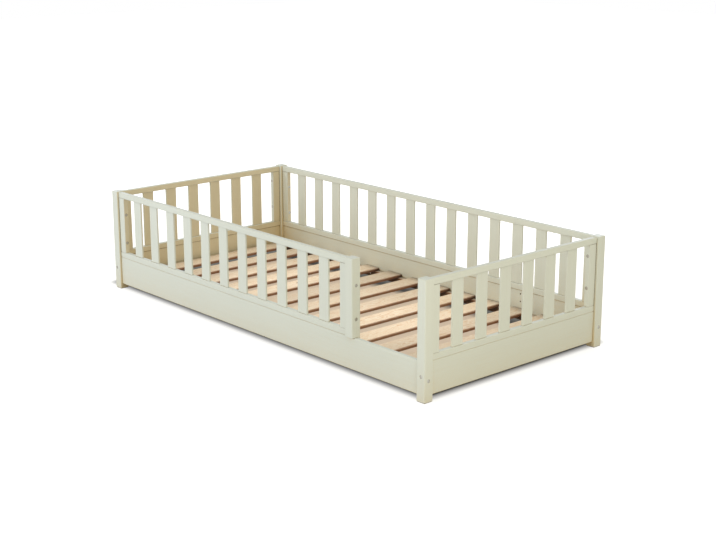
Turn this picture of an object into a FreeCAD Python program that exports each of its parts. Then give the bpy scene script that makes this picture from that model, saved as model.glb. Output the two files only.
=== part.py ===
import FreeCAD, Part
import os

# Toddler floor bed for a 900 x 1900 mattress, built from flat-packed timber parts.
# Millimetres. +X runs to the foot end, -Y is the open front side, +Z is up.
# The origin is on the floor, in the middle of the bed.

# ---- overall size ----
bed_length = 2000.0
bed_width = 970.0
post_height = 447.0

# ---- corner posts and the free post of the front guard ----
post_side = 42.0
post_edge_round = 5.0       # upright edges
post_top_bevel = 2.0
post_foot_bevel = 3.0
face_reveal = 10.0          # boards and guards lie this far behind the posts' outer faces
tongue_length = 66.0        # the free post's tongue, down the inner face of the front board

# ---- boards between the posts ----
board_thick = 18.0
board_height = 124.0
board_lift = 23.0           # gap under the boards
board_bevel = 2.0

# ---- guards ----
guard_drop = 3.0            # the top rails lie this far below the tops of the posts
rail_thick = 21.0
rail_height = 25.0
rail_bevel = 2.0
stile_width = 38.0
stile_thick = 20.0
stile_bevel = 1.5
tenon_shoulder = 6.0        # on the two edges of a stile, beside its tenon
tenon_thick = 8.0
tenon_length = 12.0
guard_slat_width = 55.0
guard_slat_thick = 8.0
guard_slat_bevel = 1.5
mortise_depth = 12.5
mortise_clear = 0.2         # round a tenon or slat in its mortise
slat_head_room = 0.5        # above a slat in the top rail; it stands on the lower mortise's floor
back_slat_count = 14
front_slat_count = 11
end_slat_count = 6

# ---- slatted base ----
base_top = 70.0             # height of the lying surface above the floor
base_slat_count = 13
base_slat_width = 90.0
base_slat_thick = 12.0
base_slat_bevel = 3.0       # the two upper edges
base_side_clear = 2.0       # slat ends to side boards
base_end_clear = 18.0       # first and last slat to the end boards
batten_thick = 25.0
batten_height = 28.0
batten_bevel = 1.5
batten_end_clear = 3.0      # batten ends to the corner posts

# ---- board bolts with barrel nuts, and the connector screws of the guards and free post ----
bolt_dia = 6.0
bolt_length = 70.0          # under the head
bolt_hole_dia = 7.0
connector_dia = 6.4
connector_length = 50.0     # under the head
connector_clear = 0.1       # round a connector screw in its hole
head_dia = 12.0
head_height = 3.0
hex_socket_width = 4.6      # across corners, for a 4 mm key
hex_socket_depth = 2.0
counterbore_dia = 13.5
counterbore_depth = 4.0
drill_over = 1.0            # a blind hole's depth past the end of what it takes
barrel_nut_dia = 10.0
barrel_nut_length = 12.0
barrel_nut_inset = 27.0     # nut axis from the end of its board
barrel_nut_clear = 0.1      # round the nut, and round the bolt in it

# ---- dowels ----
dowel_dia = 8.0
dowel_length = 40.0
dowel_clear = 0.1           # round a dowel
dowel_end_clear = 0.5

# ---- heights of the joints ----
side_bolt_rise = 58.0       # bolt of a side board above the board's lower edge
end_bolt_rise = 73.0        # bolt of an end board; it crosses above the other one
dowel_spread = 32.0         # dowels above and below a board's bolt
connector_spacing = 128.0
tongue_connector_length = 24.0    # under the head, through the free post's tongue
tongue_connector_inset = 16.0    # upper one below the top edge of the board
tongue_connector_spacing = 32.0
connector_inset = 70.0      # side guards: from the lower edge, end guards: from the upper edge

# ---- wood screws ----
screw_dia = 4.0
screw_head_dia = 8.0
screw_head_height = 2.6
screw_clear = 0.1           # round a screw in its hole and past its end
slat_screw_length = 30.0
batten_screw_length = 35.0
batten_screw_count = 4
batten_screw_inset = 80.0   # first and last screw from the ends of a batten

# ---- sides of what is drilled or turned: more where it is seen, fewer inside the timber ----
seen_sides = 8
hidden_sides = 6

# ---- places that follow from the sizes above ----
half_length = bed_length / 2
half_width = bed_width / 2
post_inner_x = half_length - post_side
post_inner_y = half_width - post_side
board_top = board_lift + board_height
board_inner_x = half_length - face_reveal - board_thick
board_inner_y = half_width - face_reveal - board_thick
board_mid_x = board_inner_x + board_thick / 2
board_mid_y = board_inner_y + board_thick / 2
guard_top = post_height - guard_drop
guard_mid_x = half_length - face_reveal - rail_thick / 2
guard_mid_y = half_width - face_reveal - rail_thick / 2
top_rail_low = guard_top - rail_height
bottom_rail_top = board_top + rail_height
side_bolt_z = board_lift + side_bolt_rise
end_bolt_z = board_lift + end_bolt_rise
side_connector_z = [board_top + connector_inset + step * connector_spacing for step in (0, 1)]
end_connector_z = [guard_top - connector_inset - step * connector_spacing for step in (0, 1)]
batten_top = base_top - base_slat_thick
batten_inner_y = board_inner_y - batten_thick
batten_mid_y = board_inner_y - batten_thick / 2
batten_mid_z = batten_top - batten_height / 2
batten_half_length = post_inner_x - batten_end_clear
base_slat_end_y = board_inner_y - base_side_clear
side_slat_gap = ((2 * post_inner_x - 2 * stile_width - back_slat_count * guard_slat_width)
                 / (back_slat_count + 1))
front_guard_length = (2 * stile_width + front_slat_count * guard_slat_width
                      + (front_slat_count + 1) * side_slat_gap)
free_post_x = -post_inner_x + front_guard_length + post_side / 2

tongue_connector_z = [board_top - tongue_connector_inset - step * tongue_connector_spacing
                      for step in (0, 1)]
tongue_thick = board_inner_y - post_inner_y
bolt_reach = bolt_length + counterbore_depth - post_side
connector_hole_dia = connector_dia + 2 * connector_clear
connector_reach = connector_length + counterbore_depth - stile_width
free_connector_reach = connector_length + counterbore_depth - post_side
tongue_connector_reach = tongue_connector_length + counterbore_depth - tongue_thick

ORIGIN = FreeCAD.Vector(0, 0, 0)
X_AXIS = FreeCAD.Vector(1, 0, 0)
Y_AXIS = FreeCAD.Vector(0, 1, 0)
Z_AXIS = FreeCAD.Vector(0, 0, 1)


# ---- helpers ----
def vec(x, y, z):
    return FreeCAD.Vector(x, y, z)


def about(middle, size):
    """The range of the given size with this middle."""
    return (middle - size / 2, middle + size / 2)


def block(x_range, y_range, z_range):
    """A box between two values on each axis."""
    low = vec(x_range[0], y_range[0], z_range[0])
    high = vec(x_range[1], y_range[1], z_range[1])
    size = high - low
    return Part.makeBox(size.x, size.y, size.z, low)


def edges_along(solid, axis):
    """The straight edges of a box that run along an axis."""
    found = []
    for edge in solid.Edges:
        run = edge.Vertexes[-1].Point - edge.Vertexes[0].Point
        if abs(run.normalize().dot(axis)) > 0.999:
            found.append(edge)
    return found


def edges_at_height(solid, z):
    """The edges of a solid that lie level at one height."""
    boxes = [(edge, edge.BoundBox) for edge in solid.Edges]
    return [edge for edge, box in boxes if abs(box.ZMin - z) < 1e-6 and abs(box.ZMax - z) < 1e-6]


def rounded_timber(x_range, y_range, z_range, axis, radius):
    """A timber with the four edges that run along its axis rounded."""
    box = block(x_range, y_range, z_range)
    return box.makeFillet(radius, edges_along(box, axis))


def eased_timber(x_range, y_range, z_range, axis, bevel):
    """A timber with the four edges that run along its axis planed off."""
    box = block(x_range, y_range, z_range)
    return box.makeChamfer(bevel, edges_along(box, axis))


def ring(diameter, height, sides):
    """A closed outline with its corners on a circle, level at a height."""
    corners = []
    for step in range(sides + 1):
        turn = FreeCAD.Rotation(Z_AXIS, 360.0 * step / sides)
        corners.append(turn.multVec(vec(diameter / 2, 0, height)))
    return Part.makePolygon(corners)


def turned(profile, start, direction, sides=hidden_sides):
    """A turned piece or drilled hole from (diameter, distance) pairs, set at start along direction.

    A level one always has a corner straight up, so pieces and their holes match.
    """
    rings = [ring(diameter, distance, sides) for diameter, distance in profile]
    solid = Part.makeLoft(rings, True, True)
    corner_way = X_AXIS if abs(direction.z) > 0.5 else Z_AXIS
    turn = FreeCAD.Rotation(corner_way, direction.cross(corner_way), direction, "ZXY")
    solid.Placement = FreeCAD.Placement(start, turn)
    return solid


def rod(diameter, length, start, direction, sides=hidden_sides):
    return turned([(diameter, 0), (diameter, length)], start, direction, sides)


def mirrored(shape, to_head, to_front):
    """The shape's mirror image towards the head end, the front side, or both."""
    if to_head:
        shape = shape.mirror(ORIGIN, X_AXIS)
    if to_front:
        shape = shape.mirror(ORIGIN, Y_AXIS)
    return shape


def cut_all(solid, tools):
    """The solid less all the tools, as one solid."""
    return solid.cut(Part.makeCompound(tools)).Solids[0]


def save(name, shape):
    shape.exportStep("parts/" + name + ".step")


def save_group(name, solids):
    save(name, Part.makeCompound(solids))


# ---- hardware and its holes, each set along a direction from the face it goes in at ----
def sunk_hole(diameter, face_point, direction, depth, sides=hidden_sides):
    """A drilled hole with a counterbore that takes the head of a bolt or connector screw."""
    shank_hole = rod(diameter, depth, face_point, direction, sides)
    counterbore = rod(counterbore_dia, counterbore_depth, face_point, direction, seen_sides)
    return shank_hole.fuse(counterbore)


def socket_headed(diameter, face_point, direction, length, sides=hidden_sides):
    """A bolt or connector screw with a low head and hex socket, seated in its counterbore."""
    seat = face_point + direction * counterbore_depth
    head_top = seat - direction * head_height
    head = rod(head_dia, head_height, head_top, direction, seen_sides)
    socket = rod(hex_socket_width, hex_socket_depth, head_top, direction)
    shank = rod(diameter, length, seat, direction, sides)
    return head.fuse(shank).cut(socket).Solids[0]


def connector_hole(face_point, direction, reach, sides=hidden_sides):
    """The hole that a connector screw's thread bites in, for a screw that reaches so far into it."""
    return rod(connector_hole_dia, reach + drill_over, face_point, direction, sides)


def barrel_nut(bolt_line_point, nut_axis, bolt_axis):
    """Cross dowel centred on its bolt, with the bolt's hole through it."""
    nut = rod(barrel_nut_dia, barrel_nut_length,
              bolt_line_point - nut_axis * (barrel_nut_length / 2), nut_axis)
    bolt_way = rod(bolt_dia + 2 * barrel_nut_clear, 2 * barrel_nut_dia,
                   bolt_line_point - bolt_axis * barrel_nut_dia, bolt_axis)
    return nut.cut(bolt_way)


def dowel_socket(face_point, direction):
    depth = dowel_length / 2 + dowel_end_clear
    return rod(dowel_dia + 2 * dowel_clear, depth, face_point, direction)


def wood_screw(face_point, direction, length):
    """Countersunk screw, its head flush with the face it is driven into."""
    profile = [(screw_head_dia, 0), (screw_dia, screw_head_height), (screw_dia, length)]
    return turned(profile, face_point, direction)


def screw_hole(face_point, direction, length):
    """Countersunk hole round a wood screw, through both pieces that it joins."""
    room = 2 * screw_clear
    profile = [(screw_head_dia + room, 0), (screw_dia + room, screw_head_height),
               (screw_dia + room, length + screw_clear)]
    return turned(profile, face_point, direction)


# ---- joint places: points on the mating faces ----
def board_joints():
    """Each board end: the bolt's point on the post's inner face and the way it runs outwards."""
    joints = []
    for end in (-1, 1):
        for side in (-1, 1):
            joints.append((vec(end * post_inner_x, side * board_mid_y, side_bolt_z), X_AXIS * end))
            joints.append((vec(end * board_mid_x, side * post_inner_y, end_bolt_z), Y_AXIS * side))
    return joints


def dowel_points(joint_point):
    """The places of the two dowels, below and above a board's bolt."""
    return [joint_point + Z_AXIS * (side * dowel_spread) for side in (-1, 1)]


def corner_connector_joints():
    """Each guard screw at a corner: its point on the post's inner face and its way into the post."""
    joints = []
    for end in (-1, 1):
        for side in (-1, 1):
            if (end, side) != (1, -1):
                joints += [(vec(end * post_inner_x, side * guard_mid_y, z), X_AXIS * end)
                           for z in side_connector_z]
            joints += [(vec(end * guard_mid_x, side * post_inner_y, z), Y_AXIS * side)
                       for z in end_connector_z]
    return joints


def batten_screw_places():
    """Where the battens are screwed to the side boards, along the bed."""
    reach = batten_half_length - batten_screw_inset
    step = 2 * reach / (batten_screw_count - 1)
    return [-reach + number * step for number in range(batten_screw_count)]


def base_slat_places():
    """Middles of the slats of the base, along the bed."""
    reach = board_inner_x - base_end_clear - base_slat_width / 2
    step = 2 * reach / (base_slat_count - 1)
    return [-reach + number * step for number in range(base_slat_count)]


# ---- posts ----
def eased_post(x_range, y_range, z_low):
    """A square post with rounded upright edges and a softened top."""
    post = rounded_timber(x_range, y_range, (z_low, post_height), Z_AXIS, post_edge_round)
    return post.makeChamfer(post_top_bevel, edges_at_height(post, post_height))


def corner_post():
    """The post of the foot end and back; the other three are its mirror images."""
    post = eased_post((post_inner_x, half_length), (post_inner_y, half_width), 0)
    post = post.makeChamfer(post_foot_bevel, edges_at_height(post, 0))
    side_joint = vec(post_inner_x, board_mid_y, side_bolt_z)
    end_joint = vec(board_mid_x, post_inner_y, end_bolt_z)
    tools = [sunk_hole(bolt_hole_dia, side_joint + X_AXIS * post_side, -X_AXIS, post_side),
             sunk_hole(bolt_hole_dia, end_joint + Y_AXIS * post_side, -Y_AXIS, post_side)]
    tools += [dowel_socket(point, X_AXIS) for point in dowel_points(side_joint)]
    tools += [dowel_socket(point, Y_AXIS) for point in dowel_points(end_joint)]
    tools += [connector_hole(vec(post_inner_x, guard_mid_y, z), X_AXIS, connector_reach)
              for z in side_connector_z]
    tools += [connector_hole(vec(guard_mid_x, post_inner_y, z), Y_AXIS, connector_reach)
              for z in end_connector_z]
    return cut_all(post, tools)


def free_post():
    """The post that ends the front guard: it stands on the board, its tongue behind the board."""
    tongue_low = board_top - tongue_length
    x_range = about(free_post_x, post_side)
    post = eased_post(x_range, (-half_width, -post_inner_y), tongue_low)
    tools = [block(about(free_post_x, 2 * post_side), (-2 * half_width, -board_inner_y),
                   (0, board_top))]
    tools += [sunk_hole(connector_hole_dia, vec(x_range[1], -guard_mid_y, z), -X_AXIS, post_side)
              for z in side_connector_z]
    tools += [sunk_hole(connector_hole_dia, vec(free_post_x, -post_inner_y, z), -Y_AXIS,
                        2 * tongue_thick, seen_sides)
              for z in tongue_connector_z]
    return cut_all(post, tools)


# ---- boards ----
def board_end_tools(joint_point, outwards, inner_way):
    """Holes in one end of a board: for its bolt, the two dowels and the barrel nut."""
    tools = [rod(bolt_hole_dia, bolt_reach + drill_over, joint_point, -outwards)]
    tools += [dowel_socket(point, -outwards) for point in dowel_points(joint_point)]
    nut_middle = joint_point - outwards * barrel_nut_inset
    bore_depth = (board_thick + barrel_nut_length) / 2
    tools.append(rod(barrel_nut_dia + 2 * barrel_nut_clear, bore_depth,
                     nut_middle + inner_way * (board_thick / 2), -inner_way))
    return tools


def back_board():
    """A long board; the front one is its mirror image, and either takes the free post."""
    board = eased_timber((-post_inner_x, post_inner_x), (board_inner_y, board_inner_y + board_thick),
                         (board_lift, board_top), X_AXIS, board_bevel)
    tools = []
    for end in (-1, 1):
        joint = vec(end * post_inner_x, board_mid_y, side_bolt_z)
        tools += board_end_tools(joint, X_AXIS * end, -Y_AXIS)
    for z in tongue_connector_z:
        tools.append(connector_hole(vec(free_post_x, board_inner_y, z), Y_AXIS,
                                    tongue_connector_reach, seen_sides))
    for x in batten_screw_places():
        tools.append(screw_hole(vec(x, batten_inner_y, batten_mid_z), Y_AXIS, batten_screw_length))
    return cut_all(board, tools)


def foot_board():
    """A short board; the head one is its mirror image."""
    board = eased_timber((board_inner_x, board_inner_x + board_thick), (-post_inner_y, post_inner_y),
                         (board_lift, board_top), Y_AXIS, board_bevel)
    tools = []
    for side in (-1, 1):
        joint = vec(board_mid_x, side * post_inner_y, end_bolt_z)
        tools += board_end_tools(joint, Y_AXIS * side, -X_AXIS)
    return cut_all(board, tools)


# ---- guards: made lying along X about Y = 0, then turned and moved to their side ----
def guard(length, slat_count, connector_heights, screwed_from_post):
    """The pieces of one guard: rails, stiles and the group of slats.

    It runs from X = 0, and connector screws go through its stiles into the posts at both
    ends. With screwed_from_post, those at its last end come through the post instead.
    """
    gap = (length - 2 * stile_width - slat_count * guard_slat_width) / (slat_count + 1)
    slat_places = [stile_width + gap + guard_slat_width / 2 + number * (guard_slat_width + gap)
                   for number in range(slat_count)]
    stile_places = [stile_width / 2, length - stile_width / 2]
    tenon_width = stile_width - 2 * tenon_shoulder
    mortise_sizes = [(x, guard_slat_width) for x in slat_places]
    mortise_sizes += [(x, tenon_width) for x in stile_places]
    pieces = {}
    for name, z_low, mortise_z in (
            ("top_rail", top_rail_low, (top_rail_low, top_rail_low + mortise_depth)),
            ("bottom_rail", board_top, (bottom_rail_top - mortise_depth, bottom_rail_top))):
        rail = eased_timber((0, length), about(0, rail_thick), (z_low, z_low + rail_height),
                            X_AXIS, rail_bevel)
        mortises = [block(about(x, width + 2 * mortise_clear),
                          about(0, guard_slat_thick + 2 * mortise_clear), mortise_z)
                    for x, width in mortise_sizes]
        pieces[name] = cut_all(rail, mortises)
    slat_low = bottom_rail_top - mortise_depth
    slat_high = top_rail_low + mortise_depth - slat_head_room
    pieces["slats"] = Part.makeCompound([
        eased_timber(about(x, guard_slat_width), about(0, guard_slat_thick), (slat_low, slat_high),
                     Z_AXIS, guard_slat_bevel) for x in slat_places])
    for name, x, way in (("first_stile", stile_places[0], -1), ("last_stile", stile_places[1], 1)):
        stile = eased_timber(about(x, stile_width), about(0, stile_thick),
                             (bottom_rail_top, top_rail_low), Z_AXIS, stile_bevel)
        tenons = block(about(x, tenon_width), about(0, tenon_thick),
                       (bottom_rail_top - tenon_length, top_rail_low + tenon_length))
        stile = stile.fuse(tenons)
        outwards = X_AXIS * way
        tools = []
        for z in connector_heights:
            if screwed_from_post and way == 1:
                tools.append(connector_hole(vec(length, 0, z), -outwards, free_connector_reach))
            else:
                opening_face = vec(x - way * stile_width / 2, 0, z)
                tools.append(sunk_hole(connector_hole_dia, opening_face, outwards, stile_width))
        pieces[name] = cut_all(stile, tools)
    return pieces


def placed(pieces, start, turn):
    """A guard's pieces moved to where it starts and turned about the upright axis."""
    placement = FreeCAD.Placement(start, FreeCAD.Rotation(Z_AXIS, turn))
    moved = {}
    for name, piece in pieces.items():
        shape = piece.copy()
        shape.Placement = placement
        moved[name] = shape
    return moved


# ---- base ----
def batten():
    """The batten on the back board; the front one is its mirror image."""
    piece = eased_timber((-batten_half_length, batten_half_length), (batten_inner_y, board_inner_y),
                         (batten_top - batten_height, batten_top), X_AXIS, batten_bevel)
    tools = [screw_hole(vec(x, batten_inner_y, batten_mid_z), Y_AXIS, batten_screw_length)
             for x in batten_screw_places()]
    tools += [screw_hole(vec(x, batten_mid_y, base_top), -Z_AXIS, slat_screw_length)
              for x in base_slat_places()]
    return cut_all(piece, tools)


def base_slat(x):
    """One slat of the base, its two upper edges planed off, screwed down to both battens."""
    slat = block(about(x, base_slat_width), about(0, 2 * base_slat_end_y),
                 (base_top - base_slat_thick, base_top))
    upper_edges = [edge for edge in edges_along(slat, Y_AXIS) if edge.BoundBox.Center.z > batten_top]
    slat = slat.makeChamfer(base_slat_bevel, upper_edges)
    tools = [screw_hole(vec(x, side * batten_mid_y, base_top), -Z_AXIS, slat_screw_length)
             for side in (-1, 1)]
    return cut_all(slat, tools)


# ---- files ----
os.makedirs("parts", exist_ok=True)

back_foot_post = corner_post()
long_board = back_board()
short_board = foot_board()
side_batten = batten()
for end_name, to_head in (("head", True), ("foot", False)):
    save(end_name + "_end_board", mirrored(short_board, to_head, False))
    for side_name, to_front in (("front", True), ("back", False)):
        save("corner_post_" + end_name + "_" + side_name,
             mirrored(back_foot_post, to_head, to_front))
for side_name, to_front in (("front", True), ("back", False)):
    save(side_name + "_side_board", mirrored(long_board, False, to_front))
    save(side_name + "_slat_batten", mirrored(side_batten, False, to_front))
save("front_guard_free_post", free_post())

side_length = 2 * post_inner_x
end_length = 2 * post_inner_y
back_guard = guard(side_length, back_slat_count, side_connector_z, False)
front_guard = guard(front_guard_length, front_slat_count, side_connector_z, True)
end_guard = guard(end_length, end_slat_count, end_connector_z, False)
guards = {
    "back_guard": placed(back_guard, vec(-post_inner_x, guard_mid_y, 0), 0),
    "front_guard": placed(front_guard, vec(-post_inner_x, -guard_mid_y, 0), 0),
    "head_guard": placed(end_guard, vec(-guard_mid_x, -post_inner_y, 0), 90),
    "foot_guard": placed(end_guard, vec(guard_mid_x, -post_inner_y, 0), 90),
}
stile_names = {
    "back_guard": ("head_stile", "foot_stile"),
    "front_guard": ("head_stile", "free_stile"),
    "head_guard": ("front_stile", "back_stile"),
    "foot_guard": ("front_stile", "back_stile"),
}
for guard_name, pieces in guards.items():
    first_name, last_name = stile_names[guard_name]
    for piece_name, piece in pieces.items():
        piece_name = {"first_stile": first_name, "last_stile": last_name}.get(piece_name, piece_name)
        save(guard_name + "_" + piece_name, piece)

for number, x in enumerate(base_slat_places(), 1):
    save("base_slat_%02d" % number, base_slat(x))

board_bolts = []
barrel_nuts = []
dowels = []
for joint_point, outwards in board_joints():
    nut_axis = Y_AXIS if abs(outwards.x) > 0.5 else X_AXIS
    board_bolts.append(socket_headed(bolt_dia, joint_point + outwards * post_side, -outwards,
                                     bolt_length))
    barrel_nuts.append(barrel_nut(joint_point - outwards * barrel_nut_inset, nut_axis, outwards))
    for point in dowel_points(joint_point):
        dowels.append(rod(dowel_dia, dowel_length, point - outwards * (dowel_length / 2), outwards))
save_group("board_bolts", board_bolts)
save_group("board_barrel_nuts", barrel_nuts)
save_group("board_dowels", dowels)

connectors = [socket_headed(connector_dia, point - outwards * stile_width, outwards,
                            connector_length)
              for point, outwards in corner_connector_joints()]
connectors += [socket_headed(connector_dia,
                             vec(free_post_x + post_side / 2, -guard_mid_y, z), -X_AXIS,
                             connector_length)
               for z in side_connector_z]
save_group("guard_connector_screws", connectors)

save_group("free_post_screws",
           [socket_headed(connector_dia, vec(free_post_x, -post_inner_y, z), -Y_AXIS,
                          tongue_connector_length, seen_sides)
            for z in tongue_connector_z])
save_group("batten_screws",
           [wood_screw(vec(x, side * batten_inner_y, batten_mid_z), Y_AXIS * side,
                       batten_screw_length)
            for x in batten_screw_places() for side in (-1, 1)])
save_group("base_slat_screws",
           [wood_screw(vec(x, side * batten_mid_y, base_top), -Z_AXIS, slat_screw_length)
            for x in base_slat_places() for side in (-1, 1)])
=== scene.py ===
"""Looks of the toddler floor bed: satin paint, planed pine, zinc-plated steel, studio floor and light."""

import math

import bpy
from mathutils import Matrix, Vector

MM = 0.001

# ---- the photograph's camera, fitted to the bed's edges ----
PHOTO_WIDTH = 716
PHOTO_HEIGHT = 540
CAMERA_PLACE = (4.1132, -3.5607, 1.6680)
CAMERA_YAW = 0.84193             # radians, turned left from looking along +Y
CAMERA_PITCH = -0.26065          # radians, looking down
FOCAL_LENGTH_PX = 1341.1
OPTICAL_CENTRE_PX = (360.72, 264.70)
SENSOR_WIDTH_MM = 36.0
CLIP_START = 0.05
CLIP_END = 100.0

# ---- light: a level of 1 shows a white surface square to it as white ----
SURROUND_LEVEL = 0.71
SURROUND_COLOUR = "#FFF9E1"      # warm light from all round
DAYLIGHT = "#E8EEFF"             # the cooler boxes even the surround out
LAMPLIGHT = "#F2EBDF"
# Each softbox: name, place, what it points at and width, in metres, then its level there and its colour.
SOFTBOXES = (
    ("front_softbox", (-1.2, -3.0, 1.2), (-0.2, 0.0, 0.2), 1.2, 0.29, DAYLIGHT),
    ("way_in_softbox", (1.2, -3.4, 1.0), (0.6, -0.4, 0.2), 1.2, 0.10, DAYLIGHT),
    ("foot_softbox", (2.1, -1.0, 0.6), (1.0, -0.1, 0.25), 0.9, 0.28, LAMPLIGHT),
    ("foot_corner_softbox", (2.1, 0.6, 0.6), (1.0, 0.2, 0.25), 0.9, 0.16, LAMPLIGHT),
    ("back_softbox", (-0.6, 3.2, 0.9), (0.0, 0.3, 0.3), 1.2, 0.36, DAYLIGHT),
    ("head_softbox", (-3.4, 0.4, 0.9), (-0.8, 0.0, 0.3), 1.2, 0.28, DAYLIGHT),
)
BASE_PANEL_PLACE = (-0.05, 0.0, 3.0)
BASE_PANEL_LENGTH = 1.75
BASE_PANEL_WIDTH = 0.6
BASE_PANEL_SPREAD = 15           # degrees, behind a grid
BASE_PANEL_LEVEL = 0.2
BASE_PANEL_COLOUR = "#FFF6EE"

# ---- finishes, as sRGB hex colours ----
WHITE = "#FFFFFF"
PAINT = "#DCE0D6"
PAINT_LIGHTER = "#E2E6DC"
PAINT_THIN = "#D9CFB2"           # on the edges, with the wood below it
# painted warm light and shade, multiplied into the paint
PAINT_WARM_SHADE = "#FFE0B0"         # multiplies the paint where the photo shows it warm and dim
# painted shade on the faces that look up
PAINT_TOPS_SHADE = "#EFF2FC"           # multiplies the paint on faces that look up
PAINT_STREAK = "#EFEBE0"         # multiplies the paint along the grain
# painted shade in bored holes and tight inner corners
PAINTED_JOINT_SHADE = "#33291E"
PINE_RINGS = ((0.0, "#FAECDC"), (0.55, "#F4E0CA"), (0.97, "#E2BF9C"))    # spring wood to autumn wood
PINE_KNOT = "#8C5A34"
# painted shade on the slats' sides and bevels
PINE_SIDE_SHADE = "#96551F"
PINE_HIDDEN = "#2A1C12"
ZINC = "#B4B2AA"
ZINC_BRIGHTER = "#CFCDC5"
PAPER = "#ACACAC"
PAPER_LIGHTER = "#B0B0B0"
PAINT_IOR = 1.48
PINE_IOR = 1.5
PINE_ROUGHNESS = 0.62
PAPER_ROUGHNESS = 0.9
PAPER_GLOSS = 0.2

# ---- painted light and shade on the floor, matched to the photo, by the distance in metres from the edge of the shade ----
SHADE_MIDDLE = (-0.06, 0.04, 0.0)
SHADE_HALF = (1.0, 0.46, 0.0)    # half the length and width of the shade
FLOOR_GLOW_AND_SHADE = (
    (-0.12, "#B6A38E"),          # under the slats the pine throws warm light on the paper
    # painted shadow under the boards
    (-0.0606, "#000000"),        # under the boards it stays dark
    (0.008, "#000000"),
    (0.0556, "#E4E4E4"),
    (1.2, WHITE),
)
GLOW_SHADING = 0.6               # how far the same shade takes the lamps' light off the paper
FLOOR_SIZE = 30.0

GRAIN_AXES = {"x": (1.0, 0.0, 0.0), "y": (0.0, 1.0, 0.0), "z": (0.0, 0.0, 1.0)}


# ---- nodes ----
def linear(hex_colour):
    """An sRGB hex colour as the linear RGBA that shaders use."""
    channels = [int(hex_colour[start:start + 2], 16) / 255 for start in (1, 3, 5)]
    return tuple((c / 12.92 if c <= 0.04045 else ((c + 0.055) / 1.055) ** 2.4) for c in channels) + (1.0,)


def add(tree, kind, settings=None, inputs=None):
    """One node: settings are its own properties, inputs are fixed values or other nodes' sockets."""
    node = tree.nodes.new(kind)
    for name, value in (settings or {}).items():
        setattr(node, name, value)
    for name, value in (inputs or {}).items():
        if isinstance(value, bpy.types.NodeSocket):
            tree.links.new(value, node.inputs[name])
        else:
            node.inputs[name].default_value = value
    return node


def new_material(name):
    """An empty material, its node tree, and the shader that feeds its output."""
    material = bpy.data.materials.new(name)
    material.use_nodes = True
    tree = material.node_tree
    tree.nodes.clear()
    shader = add(tree, "ShaderNodeBsdfPrincipled")
    add(tree, "ShaderNodeOutputMaterial", inputs={"Surface": shader.outputs["BSDF"]})
    return material, tree, shader


def feed(tree, shader, sockets):
    """Link sockets to the shader's inputs by name."""
    for name, socket in sockets.items():
        tree.links.new(socket, shader.inputs[name])


def arithmetic(tree, operation, *values):
    """One step of arithmetic on numbers."""
    return add(tree, "ShaderNodeMath", {"operation": operation}, dict(enumerate(values))).outputs["Value"]


def vector_step(tree, operation, *values):
    """One step of arithmetic on vectors: the node, as some steps give a vector and others a number."""
    return add(tree, "ShaderNodeVectorMath", {"operation": operation}, dict(enumerate(values)))


def part_of(tree, vector, axis):
    """The X, Y or Z part of a vector."""
    return add(tree, "ShaderNodeSeparateXYZ", inputs={"Vector": vector}).outputs[axis]


def remap(tree, value, span, result):
    """The value's place in span, as the same place in result, held at both ends."""
    return add(tree, "ShaderNodeMapRange",
               inputs={"Value": value, "From Min": span[0], "From Max": span[1],
                       "To Min": result[0], "To Max": result[1]}).outputs["Result"]


def mix(tree, factor, first, second, blend_type="MIX"):
    """Two colours blended: factor is the second one's share."""
    return add(tree, "ShaderNodeMix", {"data_type": "RGBA", "blend_type": blend_type},
               {"Factor": factor, "A": first, "B": second}).outputs["Result"]


def colour_ramp(tree, value, stops):
    """The colour at value between stops of (position, hex colour), which rise from first to last."""
    ramp = add(tree, "ShaderNodeValToRGB", inputs={"Fac": value})
    elements = ramp.color_ramp.elements
    while len(elements) < len(stops):
        elements.new(1.0)
    for element, (position, colour) in zip(elements, stops):
        element.position = position
        element.color = linear(colour)
    return ramp.outputs["Color"]


def grain_coordinates(tree, axis, across_mm, along_mm):
    """Object coordinates in which one unit is across_mm over the grain and along_mm with it."""
    scale = tuple(1 / (MM * (along_mm if part else across_mm)) for part in GRAIN_AXES[axis])
    place = add(tree, "ShaderNodeTexCoord").outputs["Object"]
    return add(tree, "ShaderNodeMapping", inputs={"Vector": place, "Scale": scale}).outputs["Vector"]


def grain_noise(tree, axis, across_mm, along_mm, detail, roughness=0.5):
    """Noise in spots of about across_mm over the grain and along_mm with it: the node."""
    place = grain_coordinates(tree, axis, across_mm, along_mm)
    return add(tree, "ShaderNodeTexNoise",
               inputs={"Vector": place, "Scale": 1.0, "Detail": detail, "Roughness": roughness})


def openness(tree, reach_mm, samples):
    """1 on open faces, falling towards 0 where other faces stand within reach_mm all round."""
    return add(tree, "ShaderNodeAmbientOcclusion", {"samples": samples},
               {"Distance": reach_mm * MM}).outputs["AO"]


def rounded_normal(tree, radius_mm):
    """The face's normal, turned along its edges as if they were rounded."""
    return add(tree, "ShaderNodeBevel", {"samples": 6}, {"Radius": radius_mm * MM}).outputs["Normal"]


def bump(tree, height, depth_mm, strength, normal):
    """The normal, tilted by the slopes of height."""
    return add(tree, "ShaderNodeBump",
               inputs={"Height": height, "Distance": depth_mm * MM, "Strength": strength,
                       "Normal": normal}).outputs["Normal"]


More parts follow.
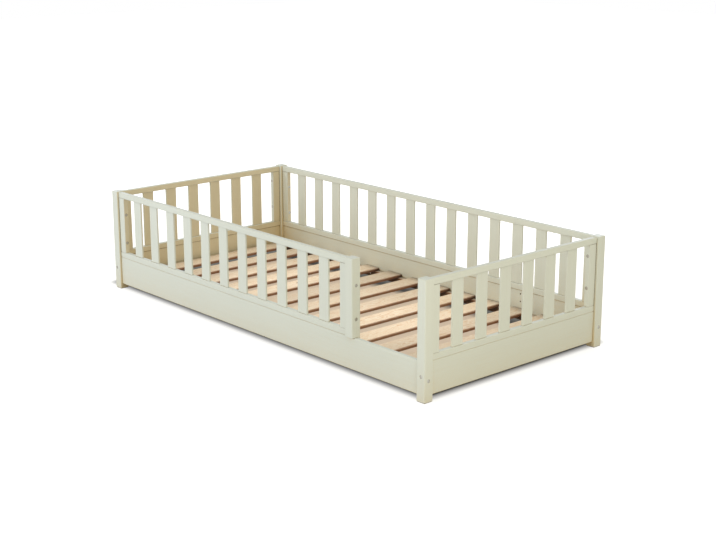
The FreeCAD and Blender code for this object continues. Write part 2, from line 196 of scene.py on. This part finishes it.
# ---- materials ----
def satin_white_paint(axis):
    """Water-based satin paint, rolled on planed pine: a soft sheen over the faint lift of the grain."""
    material, tree, shader = new_material("satin_white_paint_grain_" + axis)
    surface = add(tree, "ShaderNodeNewGeometry")
    # The paint's colour drifts a little over about 180 mm, as a rolled coat does.
    drift = grain_noise(tree, axis, 180, 420, detail=2.0).outputs["Fac"]
    coat = mix(tree, drift, linear(PAINT), linear(PAINT_LIGHTER))
    # Along the edges the coat is thin and the wood warms it.
    rounded = rounded_normal(tree, 1.6)
    facing = vector_step(tree, "DOT_PRODUCT", rounded, surface.outputs["Normal"]).outputs["Value"]
    edge = remap(tree, facing, (1.0, 0.8), (0.0, 0.35))
    tinted = mix(tree, edge, coat, linear(PAINT_THIN))
    # In the bed's inner corners light comes off the pine: a warm tint in the coat stands for it.
    enclosed = remap(tree, openness(tree, 350, samples=6), (0.3, 0.52), (1.0, 0.0))
    # The photo shows the faces that look down the bed from its head end warm and dim, and the lamps
    # alone leave them too pale, so the same tint is matched to them. It isn't the paint's own.
    # It goes by the place in the world, so it fits only while the bed stands at the frame's origin:
    # the head end is at X = -1, and only there does the normal's X, less the place's X, come near 2.
    down_the_bed = vector_step(tree, "SUBTRACT", surface.outputs["Normal"],
                               surface.outputs["Position"]).outputs["Vector"]
    at_head_end = remap(tree, part_of(tree, down_the_bed, "X"), (1.6, 1.92), (0.0, 0.55))
    # Painted light and shade: in both places the warm tint dims and warms the paint.
    warm_shade_mask = arithmetic(tree, "MAXIMUM", enclosed, at_head_end)
    warm_shaded = mix(tree, warm_shade_mask, tinted, linear(PAINT_WARM_SHADE), "MULTIPLY")
    # Faces that look up come out lighter than in the photo, so painted shade tones them down to match it.
    upward = remap(tree, part_of(tree, surface.outputs["Normal"], "Z"), (0.6, 0.95), (0.0, 1.0))
    tops_shaded = mix(tree, upward, warm_shaded, linear(PAINT_TOPS_SHADE), "MULTIPLY")
    # Painted shade: bored holes and tight inner corners, with other faces within 11 mm, are darkened towards
    # dark brown.
    joint_shade = remap(tree, openness(tree, 11, samples=8), (0.25, 0.65), (0.85, 0.0))
    joint_shaded = mix(tree, joint_shade, tops_shaded, linear(PAINTED_JOINT_SHADE))
    # Grain lifts the coat in faint lines, about 4 mm apart.
    grain = grain_noise(tree, axis, 4, 240, detail=3.0, roughness=0.6).outputs["Fac"]
    streak = remap(tree, grain, (0.45, 0.75), (0.0, 0.18))
    streaked = mix(tree, streak, joint_shaded, linear(PAINT_STREAK), "MULTIPLY")
    lift = bump(tree, grain, 0.12, 0.12, rounded)
    # A short-pile roller leaves a stipple of about 1.5 mm.
    stipple = grain_noise(tree, axis, 1.5, 1.5, detail=1.0).outputs["Fac"]
    skin = bump(tree, stipple, 0.06, 0.15, lift)
    sheen = remap(tree, drift, (0.0, 1.0), (0.46, 0.56))
    feed(tree, shader, {"Base Color": streaked, "Roughness": sheen, "Normal": skin})
    shader.inputs["IOR"].default_value = PAINT_IOR
    return material


def planed_pine(axis):
    """Planed Scots pine, unpainted: pale bands between amber lines, silky along the grain, with a few knots.
    """
    material, tree, shader = new_material("planed_pine_grain_" + axis)
    surface = add(tree, "ShaderNodeNewGeometry")
    # Growth rings, 4 to 7 mm apart in fast-grown pine, cut at a shallow angle.
    warp = grain_noise(tree, axis, 60, 500, detail=2.0).outputs["Color"]
    ring_place = grain_coordinates(tree, axis, 30, 900)
    shifted = vector_step(tree, "MULTIPLY_ADD", warp, (3.2, 3.2, 3.2), ring_place).outputs["Vector"]
    rings = add(tree, "ShaderNodeTexNoise", inputs={"Vector": shifted, "Scale": 1.4, "Detail": 1.5})
    bands = arithmetic(tree, "MULTIPLY", rings.outputs["Fac"], 14.0)
    ringed = colour_ramp(tree, arithmetic(tree, "FRACT", bands), PINE_RINGS)
    # Fibres are a fraction of a millimetre wide, drawn 1.4 mm wide to show.
    fibre = grain_noise(tree, axis, 1.4, 120, detail=2.0).outputs["Fac"]
    fibred = mix(tree, 0.25, ringed, fibre, "MULTIPLY")
    # Each slat comes from its own board, so its tone differs from the next one's.
    tone = grain_noise(tree, axis, 150, 2500, detail=0.0).outputs["Fac"]
    value = remap(tree, tone, (0.3, 0.7), (0.95, 1.25))
    toned = add(tree, "ShaderNodeHueSaturation",
                inputs={"Color": fibred, "Saturation": 0.95, "Value": value}).outputs["Color"]
    # Knots 8 to 14 mm across, some 250 mm apart.
    knots = add(tree, "ShaderNodeTexVoronoi", {"feature": "F1"},
                {"Vector": grain_coordinates(tree, axis, 190, 260), "Scale": 1.0})
    knot = remap(tree, knots.outputs["Distance"], (0.02, 0.045), (0.8, 0.0))
    knotted = mix(tree, knot, toned, linear(PINE_KNOT))
    # Painted shade: the sides and bevels, which face sideways, are darkened to a deep amber brown.
    tilt = arithmetic(tree, "ABSOLUTE", part_of(tree, surface.outputs["True Normal"], "Z"))
    side_shade = remap(tree, tilt, (0.6, 0.98), (0.85, 0.0))
    side_shaded = mix(tree, side_shade, knotted, linear(PINE_SIDE_SHADE))
    # Under the slats, on the battens and in the screw holes hardly any light gets in.
    hidden = remap(tree, openness(tree, 120, samples=8), (0.35, 0.7), (0.85, 0.0))
    shaded = mix(tree, hidden, side_shaded, linear(PINE_HIDDEN))
    lift = bump(tree, fibre, 0.2, 0.3, rounded_normal(tree, 3.0))
    feed(tree, shader, {"Base Color": shaded, "Normal": lift})
    shader.inputs["Roughness"].default_value = PINE_ROUGHNESS
    shader.inputs["IOR"].default_value = PINE_IOR
    return material


def zinc_plated_steel():
    """Bright zinc plating on cold-headed steel: grey metal with a soft, cloudy gloss."""
    material, tree, shader = new_material("zinc_plated_steel")
    # The plating's crystals show as clouds of about 2 mm.
    cloud = grain_noise(tree, "x", 2, 2, detail=3.0).outputs["Fac"]
    tint = mix(tree, cloud, linear(ZINC), linear(ZINC_BRIGHTER))
    gloss = remap(tree, cloud, (0.0, 1.0), (0.28, 0.5))
    feed(tree, shader, {"Base Color": tint, "Roughness": gloss})
    shader.inputs["Metallic"].default_value = 1.0
    return material


def seen_or_mirrored(tree):
    """1 for rays from the camera and for those that gloss or glass send on, 0 for the light itself."""
    path = add(tree, "ShaderNodeLightPath")
    shown = arithmetic(tree, "MAXIMUM", path.outputs["Is Camera Ray"], path.outputs["Is Glossy Ray"])
    return arithmetic(tree, "MAXIMUM", shown, path.outputs["Is Transmission Ray"])


def distance_from_shade(tree):
    """How far a place on the floor lies outside the bed's shade, or less than 0 inside it."""
    place = add(tree, "ShaderNodeTexCoord").outputs["Object"]
    centred = vector_step(tree, "SUBTRACT", place, SHADE_MIDDLE).outputs["Vector"]
    folded = vector_step(tree, "ABSOLUTE", centred).outputs["Vector"]
    beyond = vector_step(tree, "SUBTRACT", folded, SHADE_HALF).outputs["Vector"]
    outside = vector_step(tree, "MAXIMUM", beyond, (0.0, 0.0, 0.0)).outputs["Vector"]
    outwards = vector_step(tree, "LENGTH", outside).outputs["Value"]
    nearest_side = arithmetic(tree, "MAXIMUM", part_of(tree, beyond, "X"), part_of(tree, beyond, "Y"))
    inwards = arithmetic(tree, "MINIMUM", nearest_side, 0.0)
    return arithmetic(tree, "ADD", outwards, inwards)


def studio_floor():
    """Matt pale paper with painted shade and light by the bed; where it is lit it matches the background."""
    material, tree, shader = new_material("pale_paper_floor")
    cloud = grain_noise(tree, "x", 900, 900, detail=1.0).outputs["Fac"]
    paper = mix(tree, cloud, linear(PAPER), linear(PAPER_LIGHTER))
    # Painted light lifts the paper round the bed, and warmly under the slats, but not under the boards.
    start = FLOOR_GLOW_AND_SHADE[0][0]
    end = FLOOR_GLOW_AND_SHADE[-1][0]
    place = remap(tree, distance_from_shade(tree), (start, end), (0.0, 1.0))
    stops = [((distance - start) / (end - start), colour) for distance, colour in FLOOR_GLOW_AND_SHADE]
    painted_light_and_shade = colour_ramp(tree, place, stops)
    # Painted shadow: close to the bed the same ramp darkens the paper's colour, for the boards' shade.
    shaded = mix(tree, GLOW_SHADING, paper, painted_light_and_shade, "MULTIPLY")
    feed(tree, shader, {"Base Color": shaded, "Emission Color": painted_light_and_shade,
                        "Emission Strength": seen_or_mirrored(tree)})
    shader.inputs["Roughness"].default_value = PAPER_ROUGHNESS
    shader.inputs["Specular IOR Level"].default_value = PAPER_GLOSS
    return material


# ---- dressing the bed ----
def finish_for(node_name, paints, pines, steel):
    """The finish of one CAD node: posts, stiles and guard slats stand, side timbers run along X."""
    if node_name.endswith(("bolts", "nuts", "screws")):
        return steel
    if node_name == "board_dowels":
        return pines["x"]
    if node_name.startswith("base_slat"):
        return pines["y"]
    if node_name.endswith("batten"):
        return pines["x"]
    if node_name.endswith(("rail", "board")):
        return paints["x" if node_name.startswith(("front", "back")) else "y"]
    return paints["z"]


def dress(nodes):
    """Give every CAD node its finish, with the grain along its timber."""
    paints = {axis: satin_white_paint(axis) for axis in GRAIN_AXES}
    pines = {axis: planed_pine(axis) for axis in ("x", "y")}
    steel = zinc_plated_steel()
    for name, piece in nodes.items():
        piece.data.materials.clear()
        piece.data.materials.append(finish_for(name, paints, pines, steel))


# ---- studio ----
def lay_floor():
    """A wide sheet of paper under the bed."""
    half = FLOOR_SIZE / 2
    mesh = bpy.data.meshes.new("studio_floor")
    mesh.from_pydata([(-half, -half, 0), (half, -half, 0), (half, half, 0), (-half, half, 0)], [],
                     [(0, 1, 2, 3)])
    floor = bpy.data.objects.new("studio_floor", mesh)
    bpy.context.collection.objects.link(floor)
    floor.data.materials.append(studio_floor())


def light_surround():
    """Even, warm light from all round, shown as pure white to the camera and to reflections."""
    world = bpy.data.worlds.new("studio_surround")
    bpy.context.scene.world = world
    world.use_nodes = True
    tree = world.node_tree
    tree.nodes.clear()
    seen = seen_or_mirrored(tree)
    level = remap(tree, seen, (0.0, 1.0), (SURROUND_LEVEL, 1.0))
    colour = mix(tree, seen, linear(SURROUND_COLOUR), linear(WHITE))
    background = add(tree, "ShaderNodeBackground", inputs={"Color": colour, "Strength": level})
    add(tree, "ShaderNodeOutputWorld", inputs={"Surface": background.outputs["Background"]})


def hang(name, light, place):
    """Put an area light in the studio, out of the camera's sight."""
    lamp = bpy.data.objects.new(name, light)
    lamp.location = place
    lamp.visible_camera = False
    bpy.context.collection.objects.link(lamp)
    return lamp


def hang_softbox(name, place, aim, width, level, colour):
    """A round softbox: level is what it adds, where it points, to a white face square to it."""
    back_along = Vector(place) - Vector(aim)
    box = bpy.data.lights.new(name, "AREA")
    box.shape = "DISK"
    box.size = width
    box.color = linear(colour)[:3]
    box.energy = level * math.pi ** 2 * back_along.length_squared
    lamp = hang(name, box, place)
    lamp.rotation_mode = "QUATERNION"
    lamp.rotation_quaternion = back_along.to_track_quat("Z", "Y")


def hang_base_panel():
    """A gridded panel straight over the bed, which lights the slats and hardly the guards."""
    panel = bpy.data.lights.new("base_panel", "AREA")
    panel.shape = "RECTANGLE"
    panel.size = BASE_PANEL_LENGTH
    panel.size_y = BASE_PANEL_WIDTH
    panel.spread = math.radians(BASE_PANEL_SPREAD)
    panel.color = linear(BASE_PANEL_COLOUR)[:3]
    panel.energy = BASE_PANEL_LEVEL * math.pi * BASE_PANEL_LENGTH * BASE_PANEL_WIDTH
    hang("base_panel", panel, BASE_PANEL_PLACE)


def set_camera():
    """The photograph's camera, with its optical centre a little off the middle of the picture."""
    data = bpy.data.cameras.new("photo_camera")
    data.sensor_fit = "HORIZONTAL"
    data.sensor_width = SENSOR_WIDTH_MM
    data.lens = FOCAL_LENGTH_PX / PHOTO_WIDTH * SENSOR_WIDTH_MM
    data.shift_x = (PHOTO_WIDTH / 2 - OPTICAL_CENTRE_PX[0]) / PHOTO_WIDTH
    data.shift_y = (OPTICAL_CENTRE_PX[1] - PHOTO_HEIGHT / 2) / PHOTO_WIDTH
    data.clip_start = CLIP_START
    data.clip_end = CLIP_END
    camera = bpy.data.objects.new("photo_camera", data)
    turn = Matrix.Rotation(CAMERA_YAW, 4, "Z") @ Matrix.Rotation(math.pi / 2 + CAMERA_PITCH, 4, "X")
    camera.matrix_world = Matrix.Translation(CAMERA_PLACE) @ turn
    bpy.context.collection.objects.link(camera)
    bpy.context.scene.camera = camera


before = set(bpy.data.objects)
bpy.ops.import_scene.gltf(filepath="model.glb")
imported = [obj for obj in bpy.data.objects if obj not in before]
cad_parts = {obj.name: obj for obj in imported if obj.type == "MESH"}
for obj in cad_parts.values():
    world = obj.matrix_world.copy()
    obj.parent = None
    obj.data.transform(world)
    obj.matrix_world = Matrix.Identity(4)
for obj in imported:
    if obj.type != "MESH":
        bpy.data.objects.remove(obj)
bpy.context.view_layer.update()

set_camera()
dress(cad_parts)
lay_floor()
light_surround()
for softbox in SOFTBOXES:
    hang_softbox(*softbox)
hang_base_panel()

bpy.context.scene.view_settings.view_transform = "Standard"
